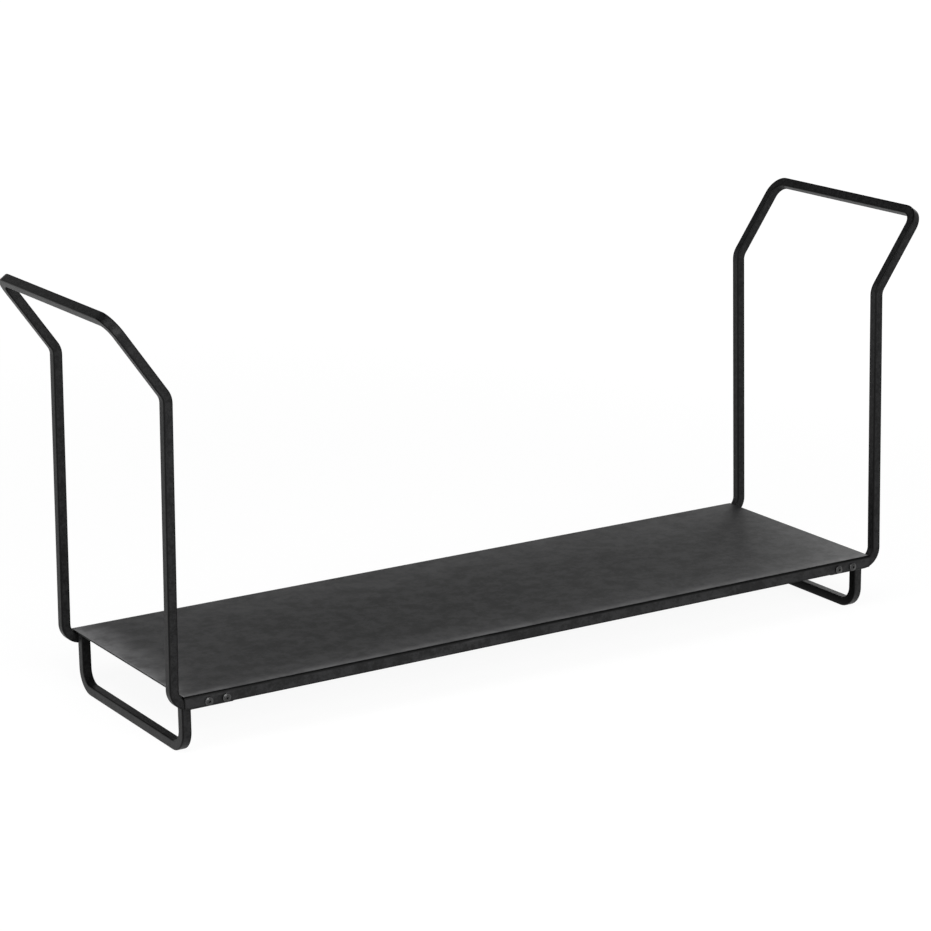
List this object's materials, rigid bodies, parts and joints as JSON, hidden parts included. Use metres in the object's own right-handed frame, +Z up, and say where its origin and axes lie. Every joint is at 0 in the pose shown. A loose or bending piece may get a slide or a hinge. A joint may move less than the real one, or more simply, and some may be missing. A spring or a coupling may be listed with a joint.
{
  "type": "firewood log rack",
  "caption": "Low steel rack for firewood: a long folded tray on square-bar feet, with a bent bar hoop at each end that leans outwards at the top.",
  "frame": {"origin": "on the floor, under the middle of the tray", "axes": "+X along the tray to the right-hand hoop, +Y from the front side to the rear side, +Z up"},
  "size_m": [0.9892, 0.2686, 0.452],
  "materials": {
    "sheet_lacquer": "satin black lacquer on steel sheet, lightly scuffed",
    "bar_lacquer": "satin black lacquer on square steel bar",
    "bolt_black": "black-finished bolt steel, satin",
    "nut_black": "black-finished nut steel, satin"
  },
  "bodies": {
    "root": {"tray": "sheet_lacquer", "left_hoop": "bar_lacquer", "left_foot": "bar_lacquer", "left_front_weld": "bar_lacquer", "left_front_outer_bolt": "bolt_black", "left_front_outer_nut": "nut_black", "left_front_inner_bolt": "bolt_black", "left_front_inner_nut": "nut_black", "left_rear_weld": "bar_lacquer", "left_rear_outer_bolt": "bolt_black", "left_rear_outer_nut": "nut_black", "left_rear_inner_bolt": "bolt_black", "left_rear_inner_nut": "nut_black", "right_hoop": "bar_lacquer", "right_foot": "bar_lacquer", "right_front_weld": "bar_lacquer", "right_front_outer_bolt": "bolt_black", "right_front_outer_nut": "nut_black", "right_front_inner_bolt": "bolt_black", "right_front_inner_nut": "nut_black", "right_rear_weld": "bar_lacquer", "right_rear_outer_bolt": "bolt_black", "right_rear_outer_nut": "nut_black", "right_rear_inner_bolt": "bolt_black", "right_rear_inner_nut": "nut_black"}
  },
  "joints": []
}
